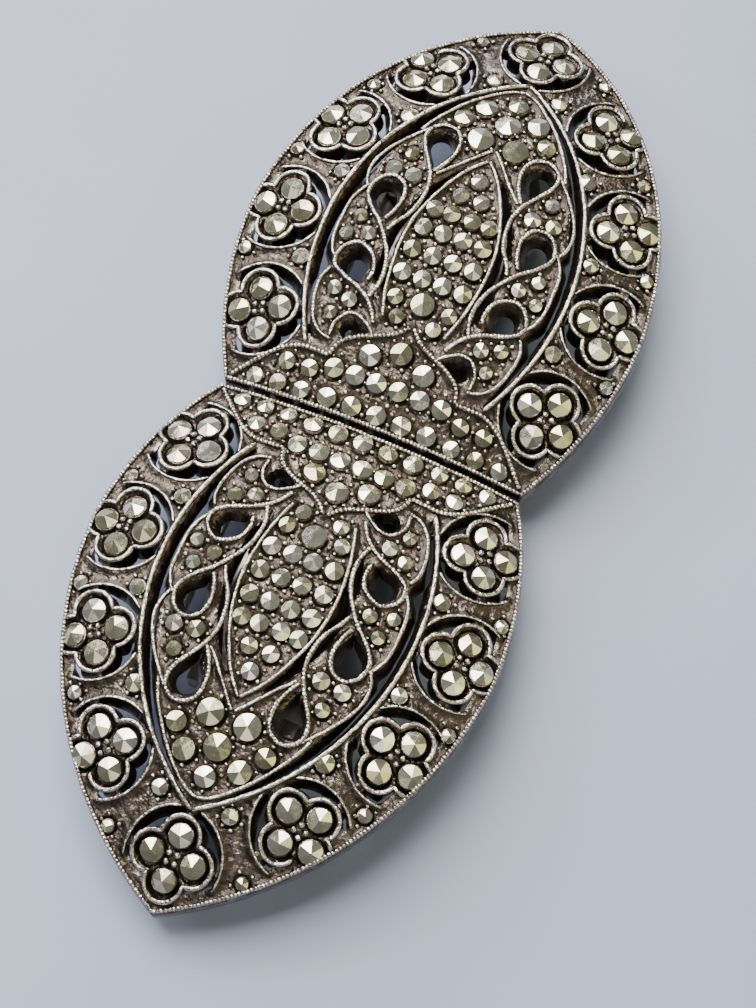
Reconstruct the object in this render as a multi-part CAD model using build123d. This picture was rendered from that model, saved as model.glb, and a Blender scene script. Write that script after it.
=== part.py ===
from build123d import *
import os
from math import acos, atan2, cos, hypot, pi, radians, sin, sqrt

# Double-clip brooch, millimetres. Two domed, pierced clips set with pointed round stones
# meet at a straight seam. Each slides outward off a flat carrier that also holds the pin.
# Origin: middle of the seam in plan, on the plane the spring flaps rest on.
# +X runs from the seam to the right clip's tip, +Y across, +Z towards the front.
# In plan a clip is drawn in (u, v): u from its seam edge to its tip, v across.

# ---- driving dimensions ----
CLIP_LENGTH = 39.0
SEAM_GAP = 0.4
SEAM_HALF_WIDTH = 12.3
CLIP_HALF_WIDTH = 16.3
WIDEST_U = 14.5
DOME_RADIUS = 46.5
DOME_CENTRE_U = 16.5
CROWN_Z = 9.4
PLATE_THICKNESS = 1.3

# ---- stones ----
SEAT_DEPTH = 0.42
SEAT_CLEARANCE = 0.015
GIRDLE_RISE = 0.05
STONE_RISE = 0.42
STONE_TABLE = 0.12

# Rows of stones as (u, radius, v of each); every v above 0 has a twin at -v.
CROWN_ROWS = [
    (1.02, 0.74, (0.0, 2.05, 4.1)),
    (0.92, 0.64, (6.2, 8.15, 10.1)),
    (3.20, 0.74, (0.9, 2.65, 4.4)),
    (2.60, 0.66, (6.2, 8.1)),
    (4.95, 0.82, (2.2,)),
    (5.85, 0.85, (0.0,)),
]
CENTRE_ROWS = [
    (8.4, 0.58, (1.5,)),
    (9.9, 0.90, (0.0,)),
    (9.8, 0.60, (2.2,)),
    (11.8, 0.68, (0.82, 2.5)),
    (13.8, 0.68, (0.82, 2.52)),
    (15.8, 0.68, (0.82, 2.45)),
    (17.6, 0.66, (0.85, 2.25)),
    (19.4, 0.62, (0.85,)),
    (21.1, 0.65, (0.0,)),
]
LEAF_ROWS = [
    (7.0, 0.50, (6.4,)),
    (8.4, 0.58, (5.4,)),
    (8.95, 0.55, (6.85,)),
    (13.35, 0.50, (7.85,)),
    (13.85, 0.55, (6.2,)),
    (15.1, 0.52, (7.35,)),
    (19.7, 0.65, (4.95,)),
    (19.85, 0.62, (6.65,)),
    (21.6, 0.55, (5.85,)),
]
TIP_ROWS = [
    (24.8, 1.00, (1.45,)),
    (26.3, 0.75, (3.5,)),
    (26.9, 1.00, (0.0,)),
    (27.9, 0.85, (2.2,)),
    (29.1, 0.78, (0.0,)),
]
BORDER_ROWS = [
    (10.1, 0.48, (15.05,)),
    (10.5, 0.60, (10.45,)),
    (18.3, 0.57, (10.4,)),
    (19.3, 0.50, (14.7,)),
    (24.9, 0.66, (7.5,)),
    (27.0, 0.48, (11.5,)),
    (30.9, 0.58, (2.75,)),
    (34.7, 0.45, (5.3,)),
]

# ---- rosettes: (u, v, turn in degrees) of those on and above the long axis ----
ROSETTES = [(5.75, 11.85, 19), (14.1, 13.5, 0), (22.4, 11.95, 62), (29.85, 7.7, 52), (35.0, 0.0, 0)]
PETALS = 4
PETAL_REACH = 1.6
PETAL_RADIUS = 1.45
PETAL_STONE = 0.87
OPENING_RADIUS = 3.55
OPENING_RIM = 1.05
OPENING_ARM = 0.7

# ---- piercings beside the long axis ----
FRAME_ARC = ((4.2, 7.4), (14.5, 10.35), (31.9, 0.0))
# A slit is (start, middle of its outer side, end, width at the middle).
RING_SLIT = ((4.6, 7.2), (14.5, 9.65), (30.3, 1.9), 0.85)
CENTRE_SLIT = ((9.0, 3.6), (14.3, 4.75), (22.0, 1.45), 0.95)
# A teardrop is (point, centre of its round end, radius of its round end).
TEARDROPS = [
    ((6.4, 3.1), (6.35, 4.5), 0.8),
    ((10.0, 5.1), (11.35, 6.15), 1.15),
    ((15.5, 5.7), (17.5, 6.25), 1.2),
    ((20.7, 3.95), (23.3, 4.15), 1.2),
]

# ---- sheet-metal hardware behind the clips ----
CARRIER_BOTTOM = 3.0
CARRIER_TOP = 3.8
CARRIER_HALF_LENGTH = 27.0
CARRIER_HALF_WIDTH = 4.0
CARRIER_CORNER = 3.0
CARRIER_WINDOW = (9.0, 21.0, 1.8)
WEB_HALF_LENGTH = 4.0
PIN_Y = 8.2
PIN_Z = 1.5
PIN_BAR_HALF_WIDTH = 0.8
PIN_BAR_END = 21.0

GUIDE_GAP = 0.06
GUIDE_WALL = 0.9
GUIDE_LIP = 0.75
GUIDE_LIP_HEIGHT = 0.55
FRONT_GUIDE = (5.6, 8.6)
REAR_GUIDE = (19.5, 22.5)
STRAP_THICKNESS = 0.75
STRAP_WINDOW = (10.0, 18.0, 3.0)
LEG_LENGTH = 2.0
FRONT_LEG_HALF_WIDTH = 2.4
REAR_LEG_HALF_WIDTH = 1.0
SOLDER_GAP = 0.01

HINGE_X = 7.0
HINGE_Z = 1.15
HINGE_PIN_RADIUS = 0.45
RUNNING_FIT = 0.03
EAR_RADIUS = 0.95
KNUCKLE_RADIUS = 0.9
KNUCKLE_SPAN = (1.9, 3.9)
HINGE_PIN_HALF_LENGTH = 5.05

FLAP_THICKNESS = 0.8
FLAP_HALF_WIDTH = 3.9
FLAP_END_X = 27.4
FLAP_WINDOW = (12.0, 22.0, 1.6)
TAB_HALF_WIDTH = 3.1
TAB_END_X = 3.6
SPRING_NOTCH = (5.9, 8.1, 1.8)
PRONG_X = 25.6
PRONG_Y = 2.2
PRONG_RADIUS = 0.35
PRONG_TOP_GAP = 0.07

SPRING_WIRE = 0.14
SPRING_RADIUS = 0.72
SPRING_HALF_LENGTH = 1.5
SPRING_TURNS = 4.802  # its end is tangent to the line down to the thumb tab
SPRING_TAB_LEG = 2.73
SPRING_STOP_LEG = 1.47
SPRING_STOP = (6.72, 2.6, 0.28)

STEM_RADIUS = 0.45
STEM_HINGE_X = -19.0
STEM_END_X = 22.4
STEM_POINT_LENGTH = 2.2
STEM_EYE_RADIUS = 1.0
STEM_EYE_HALF_WIDTH = 0.75
YOKE_EAR = 0.7
YOKE_HALF_LENGTH = 1.6
YOKE_BASE = 0.4
YOKE_GAP = 0.05
RIVET_RADIUS = 0.4

CATCH_X = (17.6, 21.0)
CHEEK = 0.6
CHEEK_HALF_WIDTH = 1.55
CHEEK_BOTTOM = 0.2
CATCH_WALL = 0.4
SLEEVE_RADIUS = 1.35
TRUNNION_RADIUS = 1.0
SLEEVE_BORE = 0.55
SLEEVE_SLOT = 0.53
CHEEK_SLOT = 0.6
SLEEVE_FIT = 0.05
TAB_REACH = 2.2
TAB_THICKNESS = 0.5
TAB_ANGLE = 200.0

THROUGH = 40.0  # longer than anything it cuts


# ---- the dome ----
def dome_centre():
    return Vector(SEAM_GAP / 2 + DOME_CENTRE_U, 0, CROWN_Z - DOME_RADIUS)


def dome_plane(u, v):
    """Plane tangent to the dome's front at (u, v), with its normal pointing outward."""
    rise = sqrt(DOME_RADIUS**2 - (u - DOME_CENTRE_U) ** 2 - v**2)
    outward = Vector(u - DOME_CENTRE_U, v, rise)
    return Plane(origin=dome_centre() + outward, z_dir=outward.normalized())


def dome_ball(radius):
    """Ball about the dome's centre, turned so that its poles and seam miss the clip."""
    return Pos(dome_centre()) * Rot(90, 0, 0) * Rot(0, 0, -90) * Sphere(radius)


# ---- plan shapes of one clip ----
def mirrored_edges(edges):
    return edges + [mirror(edge, Plane.XZ) for edge in edges]


def at_clip(shape):
    """Moves a plan shape drawn in (u, v) to the right clip's place."""
    return Pos(SEAM_GAP / 2, 0, 0) * shape


def outline_face():
    """Clip outline: straight seam edge, then two arcs each side that meet in a point."""
    corner = (0, SEAM_HALF_WIDTH)
    widest = (WIDEST_U, CLIP_HALF_WIDTH)
    side = [
        ThreePointArc(corner, (7.0, 15.3), widest),
        ThreePointArc(widest, (25.0, 13.7), (CLIP_LENGTH, 0)),
    ]
    return make_face(mirrored_edges(side) + [Line(corner, (0, -SEAM_HALF_WIDTH))])


def slit_face(start, middle, end, width):
    """Lens-shaped slit between two arcs that share both ends."""
    outer = ThreePointArc(start, middle, end)
    inner = ThreePointArc(start, (middle[0], middle[1] - width), end)
    return make_face([outer, inner])


def teardrop_face(point, centre, radius):
    """Circle drawn out to a point by its two tangents."""
    along = atan2(centre[1] - point[1], centre[0] - point[0])
    reach = hypot(centre[0] - point[0], centre[1] - point[1])
    swing = acos(radius / reach)

    def on_circle(angle):
        return (centre[0] + radius * cos(angle), centre[1] + radius * sin(angle))

    left = on_circle(along + pi - swing)
    right = on_circle(along + pi + swing)
    return make_face([Line(point, left), ThreePointArc(left, on_circle(along), right), Line(right, point)])


def petal_centres(u, v, turn):
    angles = [radians(turn + 360 / PETALS * k) for k in range(PETALS)]
    return [(u + PETAL_REACH * cos(a), v + PETAL_REACH * sin(a)) for a in angles]


def inner_panel_face():
    """Everything inside the frame line that parts the rosette band from the centre."""
    start_u, start_v = FRAME_ARC[0]
    seam_side = Line((start_u, start_v), (start_u, -start_v))
    return make_face(mirrored_edges([ThreePointArc(*FRAME_ARC)]) + [seam_side])


def rosette_opening(u, v, turn):
    """Round opening, kept off the rim and the frame line, round a rosette held by four arms."""
    rim = offset(outline_face(), -OPENING_RIM, kind=Kind.INTERSECTION)
    opening = ((Pos(u, v) * Circle(OPENING_RADIUS)) & rim) - inner_panel_face()
    opening -= Pos(u, v) * Circle(PETAL_REACH)
    for pu, pv in petal_centres(u, v, turn):
        opening -= Pos(pu, pv) * Circle(PETAL_RADIUS)
    for k in range(PETALS // 2):
        arm = Rectangle(2 * OPENING_RADIUS + 1, OPENING_ARM)
        opening -= Pos(u, v) * Rot(0, 0, turn + 180 / PETALS * 2 * k) * arm
    return opening


def all_rosettes():
    lower = [(u, -v, -turn) for u, v, turn in ROSETTES if v > 0]
    return ROSETTES + lower


def piercings():
    """Every opening through a clip's plate, as plan faces."""
    upper = [slit_face(*RING_SLIT), slit_face(*CENTRE_SLIT)]
    upper += [teardrop_face(*drop) for drop in TEARDROPS]
    lower = [mirror(face, Plane.XZ) for face in upper]
    openings = []
    for rosette in all_rosettes():
        openings += rosette_opening(*rosette).faces()
    return upper + lower + openings


# ---- stones ----
def spread(rows):
    """(u, v, radius) of each stone in rows, with the twin of each that is off the axis."""
    places = []
    for u, radius, offsets in rows:
        for v in offsets:
            places.append((u, v, radius))
            if v > 0:
                places.append((u, -v, radius))
    return places


def rosette_stones():
    places = []
    for rosette in all_rosettes():
        places += [(u, v, PETAL_STONE) for u, v in petal_centres(*rosette)]
    return places


def stone(u, v, radius):
    """Round stone: a straight girdle sunk in its seat, under a pointed crown."""
    girdle_height = SEAT_DEPTH - SEAT_CLEARANCE + GIRDLE_RISE
    girdle = Pos(0, 0, GIRDLE_RISE - girdle_height / 2) * Cylinder(radius, girdle_height)
    crown = Pos(0, 0, GIRDLE_RISE + STONE_RISE / 2) * Cone(radius, STONE_TABLE, STONE_RISE)
    return dome_plane(u, v) * (girdle + crown)


def seat(u, v, radius):
    return dome_plane(u, v) * Cylinder(radius + SEAT_CLEARANCE, 2 * SEAT_DEPTH)


STONE_GROUPS = {
    "crown_stones": spread(CROWN_ROWS),
    "centre_stones": spread(CENTRE_ROWS),
    "leaf_stones": spread(LEAF_ROWS),
    "tip_cluster_stones": spread(TIP_ROWS),
    "rosette_stones": rosette_stones(),
    "border_stones": spread(BORDER_ROWS),
}


def front_plate():
    """Domed plate of one clip, pierced and cut with a seat for every stone."""
    prism = extrude(at_clip(outline_face()), THROUGH)
    plate = (dome_ball(DOME_RADIUS) & prism) - dome_ball(DOME_RADIUS - PLATE_THICKNESS)
    holes = [extrude(at_clip(face), THROUGH) for face in piercings()]
    seats = [seat(*place) for group in STONE_GROUPS.values() for place in group]
    return plate.cut(*holes, *seats)


# ---- small helpers for the hardware ----
def block(x0, x1, y0, y1, z0, z1):
    return Pos((x0 + x1) / 2, (y0 + y1) / 2, (z0 + z1) / 2) * Box(x1 - x0, y1 - y0, z1 - z0)


def rod_along_y(x, z, radius, y0, y1):
    return Pos(x, (y0 + y1) / 2, z) * Rot(90, 0, 0) * Cylinder(radius, y1 - y0)


def rod_along_x(y, z, radius, x0, x1):
    return Pos((x0 + x1) / 2, y, z) * Rot(0, 90, 0) * Cylinder(radius, x1 - x0)


def slot_block(x0, x1, half_width, z0, z1):
    """Straight block along X whose ends are round in plan."""
    first, last = x0 + half_width, x1 - half_width
    ends = [Pos(x, 0, (z0 + z1) / 2) * Cylinder(half_width, z1 - z0) for x in (first, last)]
    return block(first, last, -half_width, half_width, z0, z1) + ends


# ---- clip hardware ----
def guide(x0, x1):
    """Channel that the carrier runs in: side walls with lips turned in under it."""
    inner = CARRIER_HALF_WIDTH + GUIDE_GAP
    lip_top = CARRIER_BOTTOM - GUIDE_GAP
    lip_bottom = lip_top - GUIDE_LIP_HEIGHT
    walls = []
    for side in (1, -1):
        near, far = sorted((side * inner, side * (inner + GUIDE_WALL)))
        walls.append(block(x0, x1, near, far, lip_bottom, CARRIER_TOP + GUIDE_GAP + STRAP_THICKNESS))
        near, far = sorted((side * (inner - GUIDE_LIP), side * inner))
        walls.append(block(x0, x1, near, far, lip_bottom, lip_top))
    return walls


def leg(x0, x1, half_width):
    """Post from the strap up to the dome's underside."""
    post = block(x0, x1, -half_width, half_width, CARRIER_TOP + GUIDE_GAP, CROWN_Z)
    return post & dome_ball(DOME_RADIUS - PLATE_THICKNESS - SOLDER_GAP)


def clip_bridge():
    """Strap soldered under the dome, with carrier guides, hinge ears and a spring stop."""
    inner = CARRIER_HALF_WIDTH + GUIDE_GAP
    outer = inner + GUIDE_WALL
    strap_bottom = CARRIER_TOP + GUIDE_GAP
    strap_top = strap_bottom + STRAP_THICKNESS
    x0, x1, half = STRAP_WINDOW
    bridge = block(FRONT_GUIDE[0], REAR_GUIDE[1], -outer, outer, strap_bottom, strap_top)
    bridge -= slot_block(x0, x1, half, 0, THROUGH)
    bridge += guide(*FRONT_GUIDE)
    bridge += guide(*REAR_GUIDE)
    bridge += leg(FRONT_GUIDE[0], FRONT_GUIDE[0] + LEG_LENGTH, FRONT_LEG_HALF_WIDTH)
    bridge += leg(REAR_GUIDE[1] - LEG_LENGTH, REAR_GUIDE[1], REAR_LEG_HALF_WIDTH)
    for side in (1, -1):
        near, far = sorted((side * inner, side * outer))
        ear = block(*FRONT_GUIDE, near, far, HINGE_Z, CARRIER_BOTTOM)
        ear += rod_along_y(HINGE_X, HINGE_Z, EAR_RADIUS, near, far)
        bridge += ear - rod_along_y(HINGE_X, HINGE_Z, HINGE_PIN_RADIUS, near, far)
    stop_x, stop_z, stop_radius = SPRING_STOP
    return bridge + rod_along_y(stop_x, stop_z, stop_radius, -inner, inner)


def clip_flap():
    """Spring flap: a flat tongue on two knuckles, with a thumb tab and two gripping prongs."""
    far_end = FLAP_END_X - FLAP_HALF_WIDTH
    flap = block(HINGE_X, far_end, -FLAP_HALF_WIDTH, FLAP_HALF_WIDTH, 0, FLAP_THICKNESS)
    flap += Pos(far_end, 0, FLAP_THICKNESS / 2) * Cylinder(FLAP_HALF_WIDTH, FLAP_THICKNESS)
    flap += block(TAB_END_X, HINGE_X, -TAB_HALF_WIDTH, TAB_HALF_WIDTH, 0, FLAP_THICKNESS)
    for side in (1, -1):
        near, far = sorted((side * KNUCKLE_SPAN[0], side * KNUCKLE_SPAN[1]))
        flap += rod_along_y(HINGE_X, HINGE_Z, KNUCKLE_RADIUS, near, far)
        prong_height = CARRIER_BOTTOM - PRONG_TOP_GAP - FLAP_THICKNESS
        prong_z = FLAP_THICKNESS + prong_height / 2
        flap += Pos(PRONG_X, side * PRONG_Y, prong_z) * Cone(PRONG_RADIUS, PRONG_RADIUS / 2, prong_height)
    x0, x1, half = SPRING_NOTCH
    flap -= block(x0, x1, -half, half, -1, 2 * HINGE_Z + 1)
    x0, x1, half = FLAP_WINDOW
    flap -= slot_block(x0, x1, half, -1, FLAP_THICKNESS + 0.1)
    bore = HINGE_PIN_RADIUS + RUNNING_FIT
    return flap - rod_along_y(HINGE_X, HINGE_Z, bore, -HINGE_PIN_HALF_LENGTH, HINGE_PIN_HALF_LENGTH)


def flap_pin():
    return rod_along_y(HINGE_X, HINGE_Z, HINGE_PIN_RADIUS, -HINGE_PIN_HALF_LENGTH, HINGE_PIN_HALF_LENGTH)


def flap_spring():
    """Torsion spring round the hinge pin: one leg holds the thumb tab down, one is on the stop."""
    pitch = 2 * SPRING_HALF_LENGTH / SPRING_TURNS
    helix = Helix(pitch=pitch, height=2 * SPRING_HALF_LENGTH, radius=SPRING_RADIUS)
    stop_leg = Line(helix @ 0 - (helix % 0) * SPRING_STOP_LEG, helix @ 0)
    tab_leg = Line(helix @ 1, helix @ 1 + (helix % 1) * SPRING_TAB_LEG)
    path = Wire([stop_leg, helix.edge(), tab_leg])
    profile = Plane(origin=path @ 0, z_dir=path % 0) * Circle(SPRING_WIRE)
    spring = Pos(0, 0, -SPRING_HALF_LENGTH) * Rot(0, 0, 180) * sweep(profile, path=path)
    return Pos(HINGE_X, 0, HINGE_Z) * Rot(90, 0, 0) * spring


# ---- carrier and pin ----
def carrier_frame():
    """Flat slide bar for both clips, with a web at the seam that holds the pin bar."""
    bar = block(
        -CARRIER_HALF_LENGTH,
        CARRIER_HALF_LENGTH,
        -CARRIER_HALF_WIDTH,
        CARRIER_HALF_WIDTH,
        CARRIER_BOTTOM,
        CARRIER_TOP,
    )
    bar = fillet(bar.edges().filter_by(Axis.Z), CARRIER_CORNER)
    x0, x1, half = CARRIER_WINDOW
    bar -= slot_block(x0, x1, half, 0, THROUGH)
    bar -= slot_block(-x1, -x0, half, 0, THROUGH)
    web = block(-WEB_HALF_LENGTH, WEB_HALF_LENGTH, 0, PIN_Y, CARRIER_BOTTOM, CARRIER_TOP)
    pin_bar = block(
        -PIN_BAR_END,
        PIN_BAR_END,
        PIN_Y - PIN_BAR_HALF_WIDTH,
        PIN_Y + PIN_BAR_HALF_WIDTH,
        CARRIER_BOTTOM,
        CARRIER_TOP,
    )
    return bar + web + pin_bar


def pin_hinge_block():
    """Yoke under the pin bar whose two ears hold the pin's rivet."""
    inner = STEM_EYE_HALF_WIDTH + YOKE_GAP
    outer = inner + YOKE_EAR
    x0, x1 = STEM_HINGE_X - YOKE_HALF_LENGTH, STEM_HINGE_X + YOKE_HALF_LENGTH
    yoke = block(x0, x1, PIN_Y - outer, PIN_Y + outer, CARRIER_BOTTOM - YOKE_BASE, CARRIER_BOTTOM)
    for side in (1, -1):
        near, far = sorted((PIN_Y + side * inner, PIN_Y + side * outer))
        ear_x0, ear_x1 = STEM_HINGE_X - STEM_EYE_RADIUS, STEM_HINGE_X + STEM_EYE_RADIUS
        yoke += block(ear_x0, ear_x1, near, far, PIN_Z, CARRIER_BOTTOM - YOKE_BASE)
        yoke += rod_along_y(STEM_HINGE_X, PIN_Z, STEM_EYE_RADIUS, near, far)
    return yoke - rod_along_y(STEM_HINGE_X, PIN_Z, RIVET_RADIUS, PIN_Y - outer, PIN_Y + outer)


def pin_rivet():
    half = STEM_EYE_HALF_WIDTH + YOKE_GAP + YOKE_EAR
    return rod_along_y(STEM_HINGE_X, PIN_Z, RIVET_RADIUS, PIN_Y - half, PIN_Y + half)


def pin_stem():
    """Pin wire with a flat eye at the hinge and a sharpened point."""
    near, far = PIN_Y - STEM_EYE_HALF_WIDTH, PIN_Y + STEM_EYE_HALF_WIDTH
    stem = rod_along_y(STEM_HINGE_X, PIN_Z, STEM_EYE_RADIUS, near, far)
    point_start = STEM_END_X - STEM_POINT_LENGTH
    stem += rod_along_x(PIN_Y, PIN_Z, STEM_RADIUS, STEM_HINGE_X, point_start)
    point = Cone(STEM_RADIUS, STEM_RADIUS / 6, STEM_POINT_LENGTH)
    stem += Pos(STEM_END_X - STEM_POINT_LENGTH / 2, PIN_Y, PIN_Z) * Rot(0, 90, 0) * point
    return stem - rod_along_y(STEM_HINGE_X, PIN_Z, RIVET_RADIUS + RUNNING_FIT, near, far)


def catch_body():
    """Two slotted cheeks under the pin bar, joined by a side wall, that hold the catch sleeve."""
    x0, x1 = CATCH_X
    low_y, high_y = PIN_Y - CHEEK_HALF_WIDTH, PIN_Y + CHEEK_HALF_WIDTH
    body = block(x0, x1, high_y, high_y + CATCH_WALL, PIN_Z, CARRIER_BOTTOM)
    for start in (x0, x1 - CHEEK):
        body += block(start, start + CHEEK, low_y, high_y + CATCH_WALL, CHEEK_BOTTOM, CARRIER_BOTTOM)
    body -= rod_along_x(PIN_Y, PIN_Z, TRUNNION_RADIUS + SLEEVE_FIT, x0, x1)
    return body - block(x0, x1, PIN_Y - CHEEK_SLOT, PIN_Y + CHEEK_SLOT, 0, PIN_Z)


def catch_sleeve():
    """Slotted barrel that turns in the cheeks, with a tab to turn it by; its slot is open downward."""
    x0, x1 = CATCH_X
    sleeve = rod_along_x(PIN_Y, PIN_Z, TRUNNION_RADIUS, x0, x1)
    inner0, inner1 = x0 + CHEEK + SLEEVE_FIT, x1 - CHEEK - SLEEVE_FIT
    sleeve += rod_along_x(PIN_Y, PIN_Z, SLEEVE_RADIUS, inner0, inner1)
    tab = block(inner0, inner1, 0, TAB_REACH, -TAB_THICKNESS / 2, TAB_THICKNESS / 2)
    sleeve += Pos(0, PIN_Y, PIN_Z) * Rot(TAB_ANGLE, 0, 0) * tab
    sleeve -= rod_along_x(PIN_Y, PIN_Z, SLEEVE_BORE, x0, x1)
    return sleeve - block(x0, x1, PIN_Y - SLEEVE_SLOT, PIN_Y + SLEEVE_SLOT, 0, PIN_Z)


# ---- build every node ----
def write_node(name, shape):
    export_step(shape, f"parts/{name}.step")


def write_clip_nodes():
    """The right clip as drawn, and the left clip as the same pieces turned half a turn."""
    pieces = {
        "front_plate": front_plate(),
        "clip_bridge": clip_bridge(),
        "clip_flap": clip_flap(),
        "flap_pin": flap_pin(),
        "flap_spring": flap_spring(),
    }
    for group, places in STONE_GROUPS.items():
        pieces[group] = Compound(children=[stone(*place) for place in places])
    for name, shape in pieces.items():
        write_node("right_" + name, shape)
        write_node("left_" + name, Rot(0, 0, 180) * shape)


os.makedirs("parts", exist_ok=True)
write_clip_nodes()
write_node("carrier_frame", carrier_frame())
write_node("pin_hinge_block", pin_hinge_block())
write_node("pin_rivet", pin_rivet())
write_node("pin_stem", pin_stem())
write_node("catch_body", catch_body())
write_node("catch_sleeve", catch_sleeve())
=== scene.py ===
import random
from math import atan2, ceil, cos, hypot, pi, radians, sin
from typing import NamedTuple

import bmesh
import bpy
import numpy as np
from mathutils import Euler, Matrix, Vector, noise


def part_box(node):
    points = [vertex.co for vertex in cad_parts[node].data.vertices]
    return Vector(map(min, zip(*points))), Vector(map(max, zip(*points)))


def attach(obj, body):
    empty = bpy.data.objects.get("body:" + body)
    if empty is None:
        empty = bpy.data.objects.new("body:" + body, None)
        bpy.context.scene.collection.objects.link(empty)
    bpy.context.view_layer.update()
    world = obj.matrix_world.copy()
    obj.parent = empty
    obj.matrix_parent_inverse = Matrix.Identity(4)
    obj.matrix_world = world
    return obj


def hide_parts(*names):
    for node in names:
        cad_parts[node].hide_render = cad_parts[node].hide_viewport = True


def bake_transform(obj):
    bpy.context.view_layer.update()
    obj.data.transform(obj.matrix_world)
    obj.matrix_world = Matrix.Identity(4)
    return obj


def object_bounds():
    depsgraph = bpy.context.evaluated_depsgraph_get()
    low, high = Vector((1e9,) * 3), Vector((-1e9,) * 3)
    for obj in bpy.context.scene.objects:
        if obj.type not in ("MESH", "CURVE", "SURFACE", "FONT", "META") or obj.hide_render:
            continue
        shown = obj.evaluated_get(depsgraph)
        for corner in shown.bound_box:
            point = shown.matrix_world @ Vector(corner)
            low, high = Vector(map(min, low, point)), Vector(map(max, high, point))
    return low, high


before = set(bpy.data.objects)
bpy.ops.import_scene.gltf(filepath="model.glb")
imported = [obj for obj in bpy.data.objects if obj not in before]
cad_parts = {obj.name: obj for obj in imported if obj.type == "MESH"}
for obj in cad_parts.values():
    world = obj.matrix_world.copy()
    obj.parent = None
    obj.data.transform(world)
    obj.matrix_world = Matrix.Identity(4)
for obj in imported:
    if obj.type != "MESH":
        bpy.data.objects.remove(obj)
cad_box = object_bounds()

# Double-clip brooch. The left clip is the right one turned half a turn.
# Everything on a clip is worked out in millimetres in that clip's own frame: u from its seam
# edge to its tip, v across, z up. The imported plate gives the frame's place.

MM = 0.001
SIDES = ("right", "left")

# ---- the dome that every front piece lies on ----
DOME_RADIUS = 46.5
DOME_CENTRE_U = 16.5
PLATE_LOW, PLATE_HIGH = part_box("right_front_plate")
SEAM_X = PLATE_LOW.x / MM
CLIP_LENGTH = (PLATE_HIGH.x - PLATE_LOW.x) / MM
CLIP_HALF_WIDTH = PLATE_HIGH.y / MM
DOME_CENTRE = np.array([DOME_CENTRE_U, 0.0, PLATE_HIGH.z / MM - DOME_RADIUS])

# ---- plan lines of one clip, for v above 0; each has a twin below ----
SEAM_HALF_WIDTH = 12.3
RIM_INSET = 0.2
WIDEST_U = 14.5
OUTLINE_ARCS = [
    ((0.0, SEAM_HALF_WIDTH), (7.0, 15.3), (WIDEST_U, CLIP_HALF_WIDTH)),
    ((WIDEST_U, CLIP_HALF_WIDTH), (25.0, 13.7), (CLIP_LENGTH, 0.0)),
]
FRAME_ARC = ((4.35, 7.3), (14.4, 9.95), (31.5, 0.0))
CROWN_SHOULDER = [(0.5, 11.95), (2.0, 10.45), (3.3, 9.0), (3.95, 7.6), (4.0, 6.3), (3.95, 5.2)]
CROWN_PEAK = [(3.95, 5.2), (5.1, 4.75), (5.9, 3.7), (6.45, 2.3), (7.1, 1.0), (8.0, 0.1)]
ALMOND = [(8.0, 2.5), (10.0, 3.1), (12.0, 3.45), (14.0, 3.6), (16.0, 3.45), (18.0, 2.95), (20.0, 2.15),
          (21.7, 1.2), (23.1, 0.05)]
CHEVRON = [(20.4, 3.4), (21.6, 2.3), (22.9, 1.2), (24.2, 0.1)]
STRANDS = [
    [(7.2, 2.9), (8.2, 3.5), (9.0, 4.3), (9.6, 5.4), (10.0, 6.5), (10.6, 7.5), (11.3, 7.8), (12.2, 7.5),
     (12.85, 6.6), (12.6, 5.6), (12.0, 4.9), (11.0, 4.6), (10.2, 4.7)],
    [(9.0, 4.1), (10.2, 3.75), (11.5, 3.8), (12.8, 4.2), (14.0, 4.95), (15.0, 5.75), (15.9, 6.75),
     (16.8, 7.45), (17.6, 7.6), (18.6, 7.2), (19.1, 6.3), (18.7, 5.3), (17.6, 4.85), (16.3, 5.05),
     (15.3, 5.5)],
    [(14.5, 4.95), (15.3, 4.6), (16.3, 3.95), (17.5, 3.55), (19.0, 3.45), (20.3, 3.8), (21.5, 4.5),
     (22.6, 5.2), (23.6, 5.45), (24.5, 5.1), (24.95, 4.2), (24.6, 3.2), (23.7, 2.7), (22.5, 2.7),
     (21.4, 3.1), (20.5, 3.65)],
]
LEAF_RIMS = [
    [(5.1, 5.6), (5.4, 6.6), (6.3, 7.5), (7.8, 8.05), (9.3, 8.2), (10.4, 7.8)],
    [(10.9, 7.6), (11.8, 8.3), (13.0, 8.65), (14.5, 8.7), (16.2, 8.6), (17.3, 8.1), (17.8, 7.7)],
    [(17.6, 7.9), (18.6, 8.3), (19.8, 8.3), (21.2, 7.75), (22.5, 6.9), (23.6, 6.0), (24.4, 5.3)],
    [(23.8, 6.05), (25.0, 5.55), (26.4, 4.7), (28.0, 3.5), (29.4, 2.1), (30.3, 0.9), (30.6, 0.0)],
]
KEYHOLE_RIM = [(5.3, 5.75), (6.4, 5.75), (7.35, 5.1), (7.45, 4.2), (7.0, 3.3), (6.4, 2.6)]
# The leaves leave a scalloped gap inside the frame line, and another outside the almond.
SCALLOPED_GAP = [(4.8, 7.1), (7.0, 8.15), (9.4, 8.45), (10.9, 7.95), (12.3, 8.75), (14.5, 8.95),
                 (16.4, 8.85), (17.7, 8.15), (19.3, 8.55), (21.5, 7.85), (23.4, 6.55), (24.2, 6.25),
                 (26.0, 5.35), (28.0, 3.9), (29.6, 2.3), (30.3, 1.9)]
SCALLOPED_GAP_OUTSIDE = ((4.6, 7.2), (14.5, 9.65), (30.3, 1.9))
ALMOND_GAP = [(9.0, 3.7), (11.0, 3.55), (12.4, 3.75), (13.6, 4.35), (14.4, 4.7), (15.2, 4.3), (16.4, 3.65),
              (18.0, 3.2), (19.6, 3.05), (21.0, 2.2), (22.0, 1.4), (20.0, 2.4), (18.0, 3.0), (16.0, 3.6),
              (14.0, 3.75), (12.0, 3.6)]


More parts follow.
